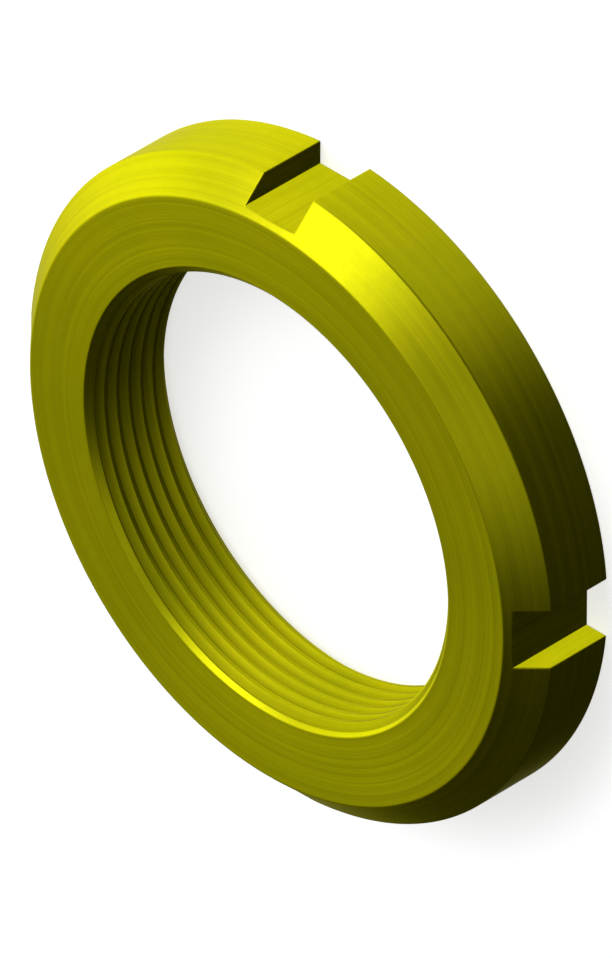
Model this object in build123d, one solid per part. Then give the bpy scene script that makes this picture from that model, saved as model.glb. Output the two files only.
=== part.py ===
from build123d import *
import math
import os

# A slotted round nut: one turned and milled steel ring with a fine metric thread
# in its bore, and four slots across its rim for the tooth of a hook spanner.
# Millimetres. The nut lies on its flat back face, which is in the plane Z = 0.
# The axis of the thread is +Z, and the bevelled front face is on top.

# Ring
OUTER_D = 65.0  # diameter of the rim
THICKNESS = 10.0  # from the back face to the front face
RIM_BEVEL = 3.0  # 45 degree bevel of the rim, on the front only

# Thread, whose turns are finer than this model: the wall of the bore stands
# at the crests of the thread, its minor diameter
THREAD_MAJOR_D = 45.0
THREAD_PITCH = 1.5
THREAD_MINOR_D = THREAD_MAJOR_D - 1.0825 * THREAD_PITCH  # 43.376
BORE_BEVEL = 1.0  # 45 degree bevel of the bore, at both ends

# Spanner slots, with parallel walls and a flat floor, open to both faces
SLOT_COUNT = 4
SLOT_WIDTH = 6.0
SLOT_DEPTH = 2.5  # from the rim down to the floor
FIRST_SLOT_DEG = 0.0

# The sharp outer edges of the back face and of the slots are broken by this much
EDGE_BREAK = 0.15

R_OUT = OUTER_D / 2
R_FACE = R_OUT - RIM_BEVEL
R_BORE = THREAD_MINOR_D / 2
R_MOUTH = R_BORE + BORE_BEVEL
R_FLOOR = R_OUT - SLOT_DEPTH


def ring():
    """The turned ring: its half section, drawn in the XZ plane, turned about Z."""
    with BuildPart() as turned:
        with BuildSketch(Plane.XZ):
            with BuildLine():
                Polyline(
                    (R_MOUTH, 0),
                    (R_OUT - EDGE_BREAK, 0),
                    (R_OUT, EDGE_BREAK),
                    (R_OUT, THICKNESS - RIM_BEVEL),
                    (R_FACE, THICKNESS),
                    (R_MOUTH, THICKNESS),
                    (R_BORE, THICKNESS - BORE_BEVEL),
                    (R_BORE, BORE_BEVEL),
                    close=True,
                )
            make_face()
        revolve(axis=Axis.Z)
    return turned.part


def slot_cutter():
    """The space that the milling cutter takes for the slot at +X: a long block whose
    floor is square to X, and which is wider by the edge break where it leaves the rim."""
    reach = 6.0
    block = Box(
        reach,
        SLOT_WIDTH,
        THICKNESS + 4,
        align=(Align.MIN, Align.CENTER, Align.CENTER),
    )
    return Pos(R_FLOOR, 0, THICKNESS / 2) * block


def is_slot_mouth_edge(edge):
    """True for the outer edges of a slot, which are the ones to break: those between
    a slot's wall and the rim, its bevel, the back's edge break or a face, and those
    between a slot's floor and a face. The inner corners along the floor stay square."""
    at = edge @ 0.5
    turned_back = [
        (at.X * math.cos(a) + at.Y * math.sin(a), -at.X * math.sin(a) + at.Y * math.cos(a))
        for a in (math.radians(FIRST_SLOT_DEG + i * 360 / SLOT_COUNT) for i in range(SLOT_COUNT))
    ]
    for u, v in turned_back:
        if u < R_FLOOR - 0.01 or abs(v) > SLOT_WIDTH / 2 + 0.01:
            continue
        on_wall = abs(abs(v) - SLOT_WIDTH / 2) < 0.01
        on_floor = abs(u - R_FLOOR) < 0.01
        if on_wall and on_floor:
            return False
        return on_wall or on_floor
    return False


nut = ring()
for i in range(SLOT_COUNT):
    nut -= Rot(0, 0, FIRST_SLOT_DEG + i * 360 / SLOT_COUNT) * slot_cutter()

mouth_edges = [e for e in nut.edges() if is_slot_mouth_edge(e)]
nut = chamfer(mouth_edges, EDGE_BREAK)

nut = nut.solids()[0] if len(nut.solids()) == 1 else nut
nut.label = "nut"

os.makedirs("parts", exist_ok=True)
export_step(nut, "parts/nut.step")

box = nut.bounding_box()
print("edges broken at the slots:", len(mouth_edges))
print("size", box.size, "volume mm3", round(nut.volume, 1), "valid", nut.is_valid)
print("steel weight g", round(nut.volume * 7.85e-3, 1))
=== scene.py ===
"""The looks of a slotted round nut that lies on its back face: a turned and milled steel ring
with a fine thread in its bore, plated and yellow passivated. One mesh stands for the CAD ring.
It has the same faces, and adds the turns of the thread and the small rounding of each edge."""

import math

import bmesh
import bpy
import numpy as np
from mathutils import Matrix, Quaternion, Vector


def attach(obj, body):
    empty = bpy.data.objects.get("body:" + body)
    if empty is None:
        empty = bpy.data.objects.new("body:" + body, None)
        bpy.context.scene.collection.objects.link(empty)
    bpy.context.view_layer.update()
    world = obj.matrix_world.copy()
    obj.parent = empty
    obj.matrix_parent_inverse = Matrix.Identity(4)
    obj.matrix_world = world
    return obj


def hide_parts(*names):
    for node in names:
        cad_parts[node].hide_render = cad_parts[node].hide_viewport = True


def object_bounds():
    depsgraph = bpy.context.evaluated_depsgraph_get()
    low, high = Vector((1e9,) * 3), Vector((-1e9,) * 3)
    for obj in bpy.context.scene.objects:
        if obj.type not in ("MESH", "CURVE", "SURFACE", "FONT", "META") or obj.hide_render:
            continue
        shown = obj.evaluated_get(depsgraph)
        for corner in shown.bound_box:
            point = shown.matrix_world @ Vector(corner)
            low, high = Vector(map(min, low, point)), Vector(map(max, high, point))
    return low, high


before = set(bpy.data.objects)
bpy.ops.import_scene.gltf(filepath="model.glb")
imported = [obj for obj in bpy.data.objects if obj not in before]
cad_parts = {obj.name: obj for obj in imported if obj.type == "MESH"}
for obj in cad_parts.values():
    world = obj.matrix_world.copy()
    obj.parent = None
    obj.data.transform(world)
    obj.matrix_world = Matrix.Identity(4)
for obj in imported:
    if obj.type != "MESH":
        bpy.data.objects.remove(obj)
cad_low, cad_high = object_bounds()

# ---------------------------------------------------------------- measures, in millimetres
R_RIM = 32.5  # outside
HIGH = 10.0
RIM_BEVEL = 3.0
R_FACE = R_RIM - RIM_BEVEL
THREAD_MAJOR_R = 22.5
PITCH = 1.5
R_BORE = THREAD_MAJOR_R - 1.0825 * PITCH / 2  # 21.688, the crests
BORE_BEVEL = 1.0
R_MOUTH = R_BORE + BORE_BEVEL
R_FLOOR = 30.0  # slot floor, from the axis
SLOT_HALF = 3.0
ROUND = 0.14  # rounding of the outer edges
ROUND_BORE = 0.09  # rounding where the bore's bevels meet the faces

R_WALL = math.hypot(R_FLOOR, SLOT_HALF)  # where a slot's floor meets its wall
TURNED_FACE, TURNED_BEVEL, TURNED_RIM, MILLED_FLOOR, MILLED_WALL, THREADED, MOUTH = range(7)


# ---------------------------------------------------------------- the ring, as one closed mesh
def columns():
    """The mesh's columns round the ring, as (kind, quarter, place): for a slot, the place
    across it in mm, and for the rim between slots, the angle in degrees from the slot before."""
    found = []
    for quarter in range(4):
        found.append(("wall", quarter, -SLOT_HALF))
        found += [("slot", quarter, y) for y in np.linspace(-2.5, 2.5, 11)]
        found.append(("wall", quarter, SLOT_HALF))
        found += [("rim", quarter, float(a)) for a in range(7, 84)]
    return found


COLUMNS = columns()
N = len(COLUMNS)


def angle_of(column):
    kind, quarter, place = column
    local = math.radians(place) if kind == "rim" else math.atan2(place, R_FLOOR)
    return local + quarter * math.pi / 2


def place_on(column, r, z):
    """The point of a column at radius r and height z. Past a slot's wall line, a wall column
    stays in the wall's plane, and a slot column ends at the slot's floor."""
    kind, quarter, place = column
    a = angle_of(column)
    if kind != "rim" and r > R_WALL - 1e-6:
        if kind == "slot":
            x, y = R_FLOOR, place
        else:
            x, y = math.sqrt(r * r - place * place), place
        c, s = math.cos(quarter * math.pi / 2), math.sin(quarter * math.pi / 2)
        return (x * c - y * s, x * s + y * c, z)
    return (r * math.cos(a), r * math.sin(a), z)


THREAD_CORNERS = (  # share of the pitch, radius: crest's end, root's start and end, next crest
    (0.125, R_BORE),
    (0.4375, THREAD_MAJOR_R),
    (0.5625, THREAD_MAJOR_R),
    (0.875, R_BORE),
)


def bore_line(angle):
    """The bore's wall at one angle, from the back face to the front: [(key, z, r)]. It is the
    thread's right-hand helix where that is deeper than the bevels, and the bevels elsewhere.
    A key names the same corner of the thread at each angle."""
    turn = angle / (2 * math.pi)
    corners = []
    for k in range(-3, 9):
        for c, (share, r) in enumerate(THREAD_CORNERS):
            corners.append(((k, c, 0), PITCH * (k + share + turn), r))
    line = [(("back",), 0.0, R_MOUTH)]
    for (key, z1, r1), (_, z2, r2) in zip(corners, corners[1:]):
        bevel = R_MOUTH - min(z1, HIGH - z1)
        shown = 1e-6 < z1 < HIGH - 1e-6 and r1 >= bevel - 1e-9
        if shown:
            line.append((key, z1, r1))
        for low_end in (True, False):
            slope, base = (-1.0, R_MOUTH) if low_end else (1.0, R_MOUTH - HIGH)
            f1, f2 = r1 - (base + slope * z1), r2 - (base + slope * z2)
            if (f1 < 0) == (f2 < 0):
                continue
            t = f1 / (f1 - f2)
            z, r = z1 + t * (z2 - z1), r1 + t * (r2 - r1)
            if not 0.02 < z < HIGH - 0.02 or r < R_BORE - 1e-6:
                continue
            if shown and z - z1 < 0.02:
                continue
            after_bevel = R_MOUTH - min(z2, HIGH - z2)
            if r2 >= after_bevel - 1e-9 and z2 - z < 0.02 and z2 < HIGH:
                continue
            line.append(((key[0], key[1], 1), z, r))
    line.append((("front",), HIGH, R_MOUTH))
    return line


class Build:
    """Collects points, faces and marked edges."""

    def __init__(self):
        self.points, self.faces, self.kinds, self.rounded = [], [], [], {}

    def point(self, p):
        self.points.append(p)
        return len(self.points) - 1

    def face(self, kind, *corners):
        self.faces.append(corners)
        self.kinds.append(kind)

    def round_edge(self, a, b, width):
        self.rounded[frozenset((a, b))] = width


def build_ring():
    b = Build()

    def ring(r, z, outside_slots=False):
        return [
            None
            if outside_slots and column[0] == "slot"
            else b.point(place_on(column, r, z))
            for column in COLUMNS
        ]

    def bevel_z(r):
        return HIGH - (r - R_FACE)

    front_in = ring(R_MOUTH, HIGH)
    front_mid = ring(26.2, HIGH)
    front_out = ring(R_FACE, HIGH)
    # Where the floor of a slot meets the bevel, the bevel's height follows the radius there
    floor_top = [
        b.point(
            place_on(column, R_WALL, bevel_z(math.hypot(R_FLOOR, column[2])))
            if column[0] == "slot"
            else place_on(column, R_WALL, bevel_z(R_WALL))
        )
        for column in COLUMNS
    ]
    bevel_a = ring(30.93, bevel_z(30.93), True)
    bevel_b = ring(31.72, bevel_z(31.72), True)
    heights = (HIGH - RIM_BEVEL, 4.6, 2.3)
    rim = [ring(R_RIM, z, True) for z in heights]
    floor = [
        [
            b.point(place_on(column, R_WALL, z)) if column[0] != "rim" else None
            for column in COLUMNS
        ]
        for z in heights
    ]
    back_out = ring(R_RIM, 0.0, True)
    back_floor = ring(R_WALL, 0.0)
    back_mid = ring(26.4, 0.0)
    back_in = ring(R_MOUTH, 0.0)

    for j in range(N):
        k = (j + 1) % N
        in_slot = "slot" in (COLUMNS[j][0], COLUMNS[k][0])
        for inner, outer in ((front_in, front_mid), (front_mid, front_out)):
            b.face(TURNED_FACE, inner[j], outer[j], outer[k], inner[k])
        b.face(TURNED_BEVEL, front_out[j], floor_top[j], floor_top[k], front_out[k])
        b.round_edge(front_out[j], front_out[k], ROUND)
        b.round_edge(front_in[j], front_in[k], ROUND_BORE)
        b.round_edge(back_in[j], back_in[k], ROUND_BORE)
        if in_slot:
            down = [floor_top, *floor, back_floor]
            for upper, lower in zip(down, down[1:]):
                b.face(MILLED_FLOOR, upper[j], lower[j], lower[k], upper[k])
            b.round_edge(floor_top[j], floor_top[k], ROUND)
            b.round_edge(back_floor[j], back_floor[k], ROUND)
        else:
            for upper, lower in (
                (floor_top, bevel_a),
                (bevel_a, bevel_b),
                (bevel_b, rim[0]),
            ):
                b.face(TURNED_BEVEL, upper[j], lower[j], lower[k], upper[k])
            for upper, lower in zip(rim, [*rim[1:], back_out]):
                b.face(TURNED_RIM, upper[j], lower[j], lower[k], upper[k])
            b.face(TURNED_FACE, back_out[j], back_floor[j], back_floor[k], back_out[k])
            b.round_edge(rim[0][j], rim[0][k], ROUND)
            b.round_edge(back_out[j], back_out[k], ROUND)
        for outer, inner in ((back_floor, back_mid), (back_mid, back_in)):
            b.face(TURNED_FACE, outer[j], inner[j], inner[k], outer[k])

    for j, (kind, _, place) in enumerate(COLUMNS):
        if kind != "wall":
            continue
        outline = [floor_top[j], bevel_a[j], bevel_b[j], rim[0][j], floor[0][j]]
        rows = [(floor[0][j], rim[0][j], rim[1][j], floor[1][j])]
        rows += [(floor[1][j], rim[1][j], rim[2][j], floor[2][j])]
        rows += [(floor[2][j], rim[2][j], back_out[j], back_floor[j])]
        for corners in (outline, *rows):
            b.face(MILLED_WALL, *(corners if place < 0 else corners[::-1]))
        edge = [floor_top[j], bevel_a[j], bevel_b[j], *(r[j] for r in rim)]
        edge += [back_out[j], back_floor[j]]
        for p, q in zip(edge, edge[1:]):
            b.round_edge(p, q, ROUND)

    def bore_face(*corners):
        """A face of the bore: a bevel's if all its corners are as good as on it, or the
        thread's."""
        places = [b.points[i] for i in corners]
        off = [abs(math.hypot(x, y) - R_MOUTH + min(z, HIGH - z)) for x, y, z in places]
        b.face(MOUTH if max(off) < 0.055 else THREADED, *corners)

    # The bore: neighbouring lines are joined corner by corner, and where a corner of the
    # thread runs out into a bevel between them, by triangles
    lines = []
    for j, column in enumerate(COLUMNS):
        a = angle_of(column) % (2 * math.pi)
        line = []
        for key, z, r in bore_line(a):
            if key == ("back",):
                line.append((key, z, back_in[j]))
            elif key == ("front",):
                line.append((key, z, front_in[j]))
            else:
                line.append((key, z, b.point((r * math.cos(a), r * math.sin(a), z))))
        lines.append((a, line))
    for j in range(N):
        a_angle, one = lines[j]
        b_angle, two = lines[(j + 1) % N]
        wrap = b_angle < a_angle  # past a full turn, each corner is the next turn's
        names = [
            (key[0] - 1, *key[1:]) if wrap and len(key) == 3 else key
            for key, _, _ in two
        ]
        shared = [
            (i, names.index(key)) for i, (key, _, _) in enumerate(one) if key in names
        ]
        for (i, m), (i_end, m_end) in zip(shared, shared[1:]):
            if i_end - i == 1 and m_end - m == 1:
                bore_face(one[i][2], one[i_end][2], two[m_end][2], two[m][2])
                continue
            while i < i_end or m < m_end:
                if m == m_end or (i < i_end and one[i + 1][1] <= two[m + 1][1]):
                    bore_face(one[i][2], one[i + 1][2], two[m][2])
                    i += 1
                else:
                    bore_face(one[i][2], two[m + 1][2], two[m][2])
                    m += 1
    return b


def ring_object():
    """The ring as an object in metres, with its edges rounded and its normals weighted."""
    b = build_ring()
    mesh = bpy.data.meshes.new("slotted_nut")
    bm = bmesh.new()
    points = [bm.verts.new(p) for p in b.points]
    bm.verts.ensure_lookup_table()
    for corners, kind in zip(b.faces, b.kinds):
        f = bm.faces.new([points[i] for i in corners])
        f.material_index, f.smooth = kind, True
    weight = bm.edges.layers.float.new("bevel_weight_edge")
    bm.normal_update()
    at = {v: i for i, v in enumerate(points)}
    for e in bm.edges:
        width = b.rounded.get(frozenset(at[v] for v in e.verts))
        if width:
            e[weight] = width / ROUND
        elif len(e.link_faces) == 2 and e.calc_face_angle(0) > math.radians(8):
            e.smooth = False
    loose = [v for v in bm.verts if not v.link_faces]
    bmesh.ops.delete(bm, geom=loose, context="VERTS")
    bm.to_mesh(mesh)
    bm.free()
    ring = bpy.data.objects.new("slotted_nut", mesh)
    bpy.context.scene.collection.objects.link(ring)

    bevel = ring.modifiers.new("rounding", "BEVEL")
    bevel.limit_method, bevel.offset_type = "WEIGHT", "OFFSET"
    bevel.width, bevel.segments, bevel.profile = ROUND, 3, 0.5
    bevel.use_clamp_overlap, bevel.loop_slide = False, True
    apply_modifiers(ring)
    part_corners(ring.data)
    at = np.empty(len(ring.data.vertices) * 3, dtype=np.float32)
    ring.data.vertices.foreach_get("co", at)
    at = (at.astype(np.float64) * 0.001).reshape(-1, 3)  # to metres
    at[:, 2] = at[:, 2].clip(0.0, cad_high[2])
    ring.data.vertices.foreach_set("co", at.astype(np.float32).ravel())
    ring.data.update()
    weighted = ring.modifiers.new("weighted", "WEIGHTED_NORMAL")
    weighted.mode, weighted.weight, weighted.keep_sharp = "FACE_AREA", 50, True
    apply_modifiers(ring)
    true_normals(ring.data)
    lay_out(ring.data)
    return ring


def part_corners(mesh):
    """Keeps the shading of two faces apart where they still meet at a corner, as along the
    foot of a slot's walls and where the roundings meet above it."""
    bm = bmesh.new()
    bm.from_mesh(mesh)
    for e in bm.edges:
        if e.calc_face_angle(0) > math.radians(36):
            e.smooth = False
    bm.to_mesh(mesh)
    bm.free()


def read(items, name, kind, width=1):
    """One property of all the items, as an array."""
    values = np.empty(len(items) * width, kind)
    items.foreach_get(name, values)
    return values.reshape(-1, width) if width > 1 else values


def surface_normals(at):
    """The normal that each of the ring's surfaces has at these points, given in mm. Each is a
    plane, a cylinder or a cone, or one of the thread's two flanks."""
    x, y, r = at[:, 0], at[:, 1], np.hypot(at[:, 0], at[:, 1])
    c, s, none, one = x / r, y / r, np.zeros(len(r)), np.ones(len(r))
    turn = np.round(np.arctan2(y, x) / (math.pi / 2)) * math.pi / 2
    to_x, to_y = np.cos(turn), np.sin(turn)
    found = [(none, none, one), (none, none, -one), (c, s, none), (c, s, one), (-c, -s, none)]
    found += [(-c, -s, one), (-c, -s, -one), (to_x, to_y, none)]
    found += [(-to_y, to_x, none), (to_y, -to_x, none)]
    for slope in (1, -1):
        steep = slope * (THREAD_MAJOR_R - R_BORE) / (0.3125 * PITCH)
        lead = steep * PITCH / (2 * math.pi * r)
        found.append((-c + lead * s, -s - lead * c, steep * one))
    found = np.array(found).transpose(0, 2, 1)
    return found / np.linalg.norm(found, axis=2, keepdims=True)


def true_normals(mesh):
    """Gives every face that lies on one of the ring's surfaces the normals of that surface, and
    the roundings the same normals along the edges where they run into it."""
    at = read(mesh.vertices, "co", np.float32, 3).astype(np.float64) * 1000
    vertex = read(mesh.loops, "vertex_index", np.int32)
    count = read(mesh.polygons, "loop_total", np.int32)
    start = read(mesh.polygons, "loop_start", np.int32)
    facing = read(mesh.polygons, "normal", np.float32, 3)
    middle = read(mesh.polygons, "center", np.float32, 3).astype(np.float64) * 1000
    match = np.einsum("sfi,fi->sf", surface_normals(middle), facing)
    surface = np.where(match.max(0) > math.cos(math.radians(1.5)), match.argmax(0), -1)
    # Where the thread runs out, a sliver of the bore's bevel can face another way
    from_end = HIGH / 2 - np.abs(middle[:, 2] - HIGH / 2)
    kind = read(mesh.polygons, "material_index", np.int32)
    bevel = (surface < 0) & (kind == MOUTH) & (from_end > 0.8 * ROUND_BORE)
    surface = np.where(bevel, np.where(middle[:, 2] > HIGH / 2, 5, 6), surface)
    face = np.repeat(np.arange(len(count)), count)
    on = surface[face] >= 0
    own = surface_normals(at[vertex])[surface[face], np.arange(len(vertex))]

    # Corners that share a normal: the two faces' corners at each end of every smooth edge
    leader = list(range(len(vertex)))

    def lead(i):
        while leader[i] != i:
            leader[i] = leader[leader[i]]
            i = leader[i]
        return i

    after = np.arange(len(vertex)) + 1
    after[start + count - 1] = start
    edge = read(mesh.loops, "edge_index", np.int32)
    sharp = np.zeros(len(mesh.edges), bool)
    mesh.edges.foreach_get("use_edge_sharp", sharp)
    first = {}
    for i, (e, nxt) in enumerate(zip(edge.tolist(), after.tolist())):
        if sharp[e]:
            continue
        if e not in first:
            first[e] = (i, nxt)
            continue
        for a in first[e]:
            for b in (i, nxt):
                if vertex[a] == vertex[b]:
                    leader[lead(a)] = lead(b)
    group = np.array([lead(i) for i in range(len(vertex))])

    total = np.zeros((len(vertex), 3))
    np.add.at(total, group[on], own[on])
    total = total[group]
    length = np.linalg.norm(total, axis=1)
    now = read(mesh.corner_normals, "vector", np.float32, 3).astype(np.float64)
    known = length > 1e-6
    now[known] = total[known] / length[known][:, None]
    mesh.normals_split_custom_set(now.tolist())


def lay_out(mesh):
    """Lays the surface out flat, as the map through which its textures are baked. The outside
    is unrolled into one wide band and the bore into another, so that the turning lines run
    level, and below them the slots' floors and walls are rectangles side by side."""
    corner = read(mesh.vertices, "co", np.float32, 3).astype(np.float64) * 1000
    x, y, z = corner[read(mesh.loops, "vertex_index", np.int32)].T
    count = read(mesh.polygons, "loop_total", np.int32)
    face = np.repeat(np.arange(len(count)), count)
    kind = read(mesh.polygons, "material_index", np.int32)[face]
    centre = read(mesh.polygons, "center", np.float32, 3).astype(np.float64)[face] * 1000

    # Round the ring: each face's corners keep to its own side of the seam at angle 0
    middle = np.arctan2(centre[:, 1], centre[:, 0]) % (2 * math.pi)
    angle = np.arctan2(y, x)
    angle += 2 * math.pi * np.round((middle - angle) / (2 * math.pi))
    u = 0.004 + 0.992 * angle / (2 * math.pi)

    # The outside: how far along its outline, from the bore's front bevel to its back one
    r, end = np.hypot(x, y), 0.3
    outline = [(R_MOUTH - end, HIGH - end), (R_MOUTH, HIGH), (R_FACE, HIGH)]
    outline += [(R_RIM, HIGH - RIM_BEVEL), (R_RIM, 0.0), (R_MOUTH, 0.0), (R_MOUTH - end, end)]
    nearest, along, run = np.full(len(r), np.inf), np.zeros(len(r)), 0.0
    for (r1, z1), (r2, z2) in zip(outline, outline[1:]):
        span = math.hypot(r2 - r1, z2 - z1)
        t = ((r - r1) * (r2 - r1) + (z - z1) * (z2 - z1)) / span**2
        t = t.clip(0, 1)
        off = np.hypot(r - r1 - t * (r2 - r1), z - z1 - t * (z2 - z1))
        along = np.where(off < nearest, run + t * span, along)
        nearest, run = np.minimum(nearest, off), run + span
    v = 0.992 - 0.59 * along / run

    # The bore, by height, and by radius too where it opens into the faces
    end_sign = np.where(z < HIGH / 2, -1, 1)
    past = (r - R_MOUTH + 0.1).clip(0) * end_sign
    v = np.where(kind >= THREADED, 0.388 - 0.27 * (z + past + 0.3) / (HIGH + 0.6), v)

    # The slots, each turned back to the one at +X: its floor by place across and height,
    # and its walls by depth and height, with what is rounded off opened out
    quarter = np.round(middle / (math.pi / 2)) % 4
    turn = quarter * math.pi / 2
    out = x * np.cos(turn) + y * np.sin(turn)
    side = y * np.cos(turn) - x * np.sin(turn)
    far = centre[:, 1] * np.cos(turn) - centre[:, 0] * np.sin(turn) > 0
    below = (R_FLOOR - out).clip(0) * end_sign
    lip = (np.abs(side) - SLOT_HALF).clip(0)
    floor_u = 0.006 + 0.105 * quarter + 0.1 * (side + 3.2) / 6.4
    deep = (out - R_FLOOR + lip + 0.2) / 3.1
    wall_u = 0.428 + 0.071 * (2 * quarter + far) + 0.066 * np.where(far, deep, 1 - deep)
    milled_v = 0.008 + 0.1 * (z + below + 0.5) / (HIGH + 1)
    u = np.where(kind == MILLED_FLOOR, floor_u, np.where(kind == MILLED_WALL, wall_u, u))
    v = np.where((kind == MILLED_FLOOR) | (kind == MILLED_WALL), milled_v, v)

    layer = mesh.uv_layers.new(name="OFBake")
    layer.uv.foreach_set("vector", np.stack([u, v], 1).astype(np.float32).ravel())


def apply_modifiers(o):
    """Puts the modifiers' result into the object's own mesh."""
    dg = bpy.context.evaluated_depsgraph_get()
    made = bpy.data.meshes.new_from_object(
        o.evaluated_get(dg), preserve_all_data_layers=True, depsgraph=dg
    )
    o.modifiers.clear()
    old, o.data = o.data, made
    bpy.data.meshes.remove(old)
    made.name = "slotted_nut"


ring = ring_object()


# ---------------------------------------------------------------- materials
class Nodes:
    """A short way to write a material's nodes. Inputs are numbers, vectors or other sockets."""

    def __init__(self, tree):
        self.tree = tree

    def add(self, kind, values=(), **settings):
        n = self.tree.nodes.new("ShaderNode" + kind)
        for name, value in settings.items():
            setattr(n, name, value)
        for i, value in dict(values).items():
            if isinstance(value, bpy.types.NodeSocket):
                self.tree.links.new(value, n.inputs[i])
            else:
                n.inputs[i].default_value = value
        return n

    def math(self, operation, a, b=0.0, c=0.0, clamp=False):
        n = self.add("Math", {0: a, 1: b, 2: c}, operation=operation, use_clamp=clamp)
        return n.outputs[0]

    def vector(self, x, y, z):
        return self.add("CombineXYZ", {0: x, 1: y, 2: z}).outputs[0]

    def noise(self, vector, scale=1.0, detail=2.0, roughness=0.5):
        n = self.add(
            "TexNoise", {"Vector": vector, "Scale": scale, "Detail": detail}
        )
        n.inputs["Roughness"].default_value = roughness
        return n.outputs["Fac"]

    def spread(self, value, low, high, to_low, to_high):
        """The value's range from low to high, as one from to_low to to_high."""
        n = self.add(
            "MapRange",
            {
                "Value": value,
                "From Min": low,
                "From Max": high,
                "To Min": to_low,
                "To Max": to_high,
            },
        )
        return n.outputs["Result"]

    def blend(self, factor, a, b):
        n = self.add("Mix", data_type="RGBA")
        for socket, value in ((n.inputs["Factor"], factor), (n.inputs[6], a), (n.inputs[7], b)):
            if isinstance(value, bpy.types.NodeSocket):
                self.tree.links.new(value, socket)
            else:
                socket.default_value = value
        return n.outputs[2]


GOLD, OLIVE = (0.60, 0.572, 0.0045, 1), (0.53, 0.533, 0.0045, 1)


def plated(name, marks, depth, rough, painted_groove_shade=False):
    """Steel with a yellow passivated zinc plating. marks says how the tool's lines run:
    round (turned, lines at each radius), along (turned, lines at each height), milled or
    cutter (arcs of a milling cutter's side). depth is the height of the lines in microns.
    With painted_groove_shade, painted shade darkens the colour towards the thread's roots, where
    less light gets in, and a dull edge tint dims the thread's grazing gloss."""
    turned = marks in ("round", "along")
    mat = bpy.data.materials.new("plated_" + name)
    mat.use_nodes = True
    shader = mat.node_tree.nodes["Principled BSDF"]
    n = Nodes(mat.node_tree)
    place = n.add("TexCoord").outputs["Object"]
    mm = n.add("VectorMath", {0: place, 1: (1000, 1000, 1000)}, operation="MULTIPLY")
    mm = mm.outputs[0]
    x, y, z = n.add("SeparateXYZ", {0: mm}).outputs
    radius = n.math("SQRT", n.math("ADD", n.math("MULTIPLY", x, x), n.math("MULTIPLY", y, y)))
    cos, sin = n.math("DIVIDE", x, radius), n.math("DIVIDE", y, radius)
    reach = n.math("MAXIMUM", n.math("ABSOLUTE", x), n.math("ABSOLUTE", y))
    across = n.math("MINIMUM", n.math("ABSOLUTE", x), n.math("ABSOLUTE", y))

    def lines(per_mm, round_about, detail):
        if marks == "round":
            v = n.vector(
                n.math("MULTIPLY", radius, per_mm),
                n.math("MULTIPLY", cos, round_about),
                n.math("MULTIPLY", sin, round_about),
            )
        elif marks == "along":
            v = n.vector(
                n.math("MULTIPLY", z, per_mm),
                n.math("MULTIPLY", cos, round_about),
                n.math("MULTIPLY", sin, round_about),
            )
        elif marks == "milled":
            v = n.vector(
                n.math("MULTIPLY", across, per_mm),
                n.math("MULTIPLY", z, 0.12 * round_about),
                n.math("MULTIPLY", n.math("ADD", cos, sin), 9.0),
            )
        else:
            dx, dz = n.math("SUBTRACT", reach, 66.0), n.math("SUBTRACT", z, 3.0)
            arc = n.math(
                "SQRT", n.math("ADD", n.math("MULTIPLY", dx, dx), n.math("MULTIPLY", dz, dz))
            )
            v = n.vector(
                n.math("MULTIPLY", arc, per_mm),
                n.math("MULTIPLY", z, 0.1 * round_about),
                n.math("MULTIPLY", n.math("ADD", cos, sin), 9.0),
            )
        return n.noise(v, 1.0, detail, 0.6)

    fine, broad = lines(7.0, 0.45, 2.0), lines(2.2, 0.35, 2.0)
    cloud = n.noise(mm, 0.085, 2.0, 0.55)
    mottle = n.noise(mm, 0.9, 3.0, 0.6)

    tint = n.math("MULTIPLY_ADD", cloud, 0.75, n.math("MULTIPLY", mottle, 0.25))
    colour = n.blend(n.spread(tint, 0.35, 0.65, 0.0, 1.0), GOLD, OLIVE)
    streaks = n.math("MULTIPLY_ADD", fine, 0.5, n.math("MULTIPLY", broad, 0.5))
    shade = n.spread(streaks, 0.32, 0.68, 0.84, 1.12)
    # Painted shade: the colour darkens from 0.9 at the crests to 0.45 where a groove is 0.8 mm
    # deep, in place of the shade in the thread's grooves
    if painted_groove_shade:
        from_end = n.math("MINIMUM", z, n.math("SUBTRACT", HIGH, z))
        plain = n.math("MAXIMUM", R_BORE, n.math("SUBTRACT", R_MOUTH, from_end))
        under = n.math("SUBTRACT", radius, plain)
        shade = n.math("MULTIPLY", shade, n.spread(under, 0.0, 0.8, 0.9, 0.45))
    shaded = n.add("VectorMath", {0: colour, "Scale": shade}, operation="SCALE")
    n.tree.links.new(shaded.outputs[0], shader.inputs["Base Color"])
    shader.inputs["Metallic"].default_value = 0.95
    # Painted shade: on the thread, a dull edge tint dims the grazing gloss in place of the shade
    # in its grooves
    edge = (0.3, 0.29, 0.0, 1) if painted_groove_shade else (1.0, 0.97, 0.15, 1)
    shader.inputs["Specular Tint"].default_value = edge
    if turned:
        shader.inputs["Anisotropic"].default_value = 0.5
        shader.inputs["Anisotropic Rotation"].default_value = 0.25
        around = n.add("Tangent", direction_type="RADIAL", axis="Z").outputs[0]
        n.tree.links.new(around, shader.inputs["Tangent"])

    gloss = n.math("MULTIPLY_ADD", streaks, 0.8, n.math("MULTIPLY", mottle, 0.2))
    n.tree.links.new(
        n.spread(gloss, 0.35, 0.65, rough - 0.06, rough + 0.06), shader.inputs["Roughness"]
    )

    height = n.math("MULTIPLY_ADD", fine, 0.45, n.math("MULTIPLY", broad, 1.0))
    bump = n.add("Bump", {"Height": height, "Distance": depth * 1e-6, "Strength": 1.0})
    n.tree.links.new(bump.outputs[0], shader.inputs["Normal"])
    return mat


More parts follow.
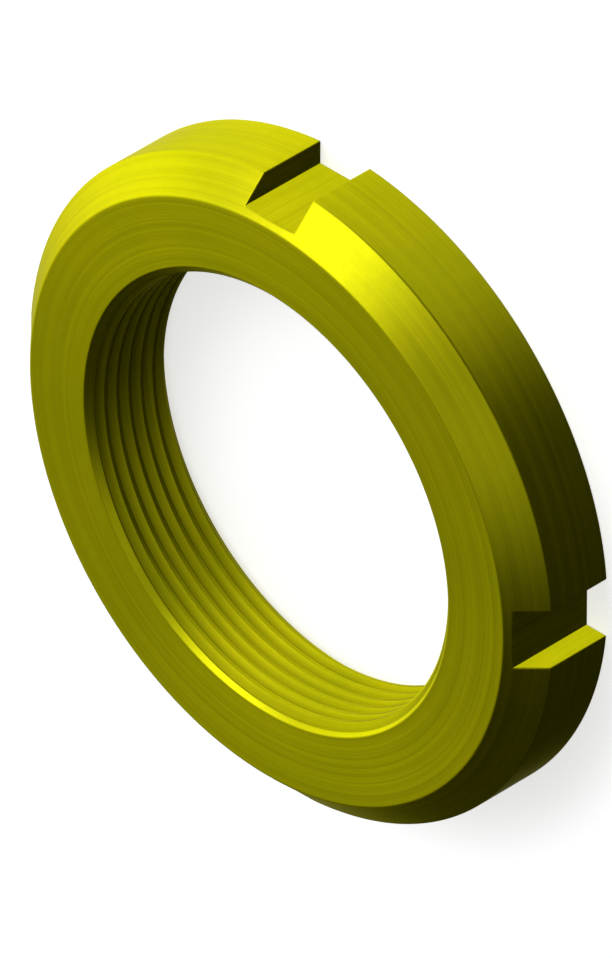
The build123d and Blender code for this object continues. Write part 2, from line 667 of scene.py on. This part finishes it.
for mat in (
    plated("face", "round", 14.0, 0.35),
    plated("bevel", "round", 14.0, 0.35),
    plated("rim", "along", 14.0, 0.35),
    plated("slot_floor", "milled", 12.0, 0.38),
    plated("slot_wall", "cutter", 12.0, 0.38),
    plated("thread", "along", 8.0, 0.42, painted_groove_shade=True),
    plated("mouth", "round", 14.0, 0.35),
):
    ring.data.materials.append(mat)

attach(ring, "root")
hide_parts("nut")
# Its gloss mirrors only the studio's lights, so the walls of a slot stay as clear as its floor
ring.visible_glossy = False

# ---------------------------------------------------------------- floor
mesh = bpy.data.meshes.new("floor")
mesh.from_pydata(
    [(-4, -4, 0), (4, -4, 0), (4, 4, 0), (-4, 4, 0)], [], [(0, 1, 2, 3)]
)
floor = bpy.data.objects.new("floor", mesh)
bpy.context.scene.collection.objects.link(floor)
mat = bpy.data.materials.new("floor")
mat.use_nodes = True
shader = mat.node_tree.nodes["Principled BSDF"]
shader.inputs["Base Color"].default_value = (0.8, 0.8, 0.8, 1)
shader.inputs["Roughness"].default_value = 0.9
shader.inputs["Specular IOR Level"].default_value = 0.0
shader.inputs["Emission Color"].default_value = (1, 1, 1, 1)
shader.inputs["Emission Strength"].default_value = 0.66
floor.data.materials.append(mat)
# The nut is lit by the studio's lights alone, and not by the bright floor
floor.visible_diffuse = floor.visible_glossy = floor.visible_shadow = False

# ---------------------------------------------------------------- camera
camera = bpy.data.cameras.new("camera")
camera.lens, camera.sensor_width, camera.sensor_fit = 900, 36, "AUTO"
camera.clip_start, camera.clip_end = 0.1, 10
eye = bpy.data.objects.new("camera", camera)
eye.rotation_mode = "QUATERNION"
eye.location = (1.218057, 1.218058, 1.223637)
eye.rotation_quaternion = Quaternion((0.8805393, -0.279773, 0.3646082, 0.1159249))
bpy.context.scene.collection.objects.link(eye)
bpy.context.scene.camera = eye

# ---------------------------------------------------------------- light
world = bpy.data.worlds.new("studio")
world.use_nodes = True
n = Nodes(world.node_tree)
way = n.add("TexCoord").outputs["Generated"]


def glow(towards, strength, focus):
    """A soft light, brightest in one direction and fading to none at a right angle to it. The
    greater the focus, the narrower the light."""
    size = math.sqrt(sum(c * c for c in towards))
    dot = n.add(
        "VectorMath", {0: way, 1: [c / size for c in towards]}, operation="DOT_PRODUCT"
    )
    lit = n.math("POWER", n.math("MAXIMUM", dot.outputs["Value"], 0.0), focus)
    return n.math("MULTIPLY", lit, strength)


lights = (
    glow((-0.29, 0.63, 0.72), 3.2, 15),  # key, from behind and above
    glow((-0.92, 0.31, -0.26), 1.37, 1.9),  # the bright side of the room
    glow((0.15, 0.73, -0.66), 0.7, 12),  # low, from behind
    glow((-0.88, -0.11, 0.47), 0.81, 6),  # across the turned face
    glow((0.34, 0.16, 0.93), 0.72, 14),  # overhead
    glow((0.90, 0.18, 0.40), 0.267, 10),  # fill on the dark side
)
light = 0.0187
for one in lights:
    light = n.math("ADD", light, one)
lamp = n.tree.nodes["Background"]
n.tree.links.new(light, lamp.inputs["Color"])
back = n.add("Background", {"Color": (1, 1, 1, 1), "Strength": 1.0})
seen = n.add("LightPath").outputs["Is Camera Ray"]
both = n.add("MixShader", {0: seen, 1: lamp.outputs[0], 2: back.outputs[0]})
n.tree.links.new(both.outputs[0], n.tree.nodes["World Output"].inputs[0])
world.cycles.sampling_method = "NONE"
bpy.context.scene.world = world
bpy.context.scene.view_settings.view_transform = "Standard"
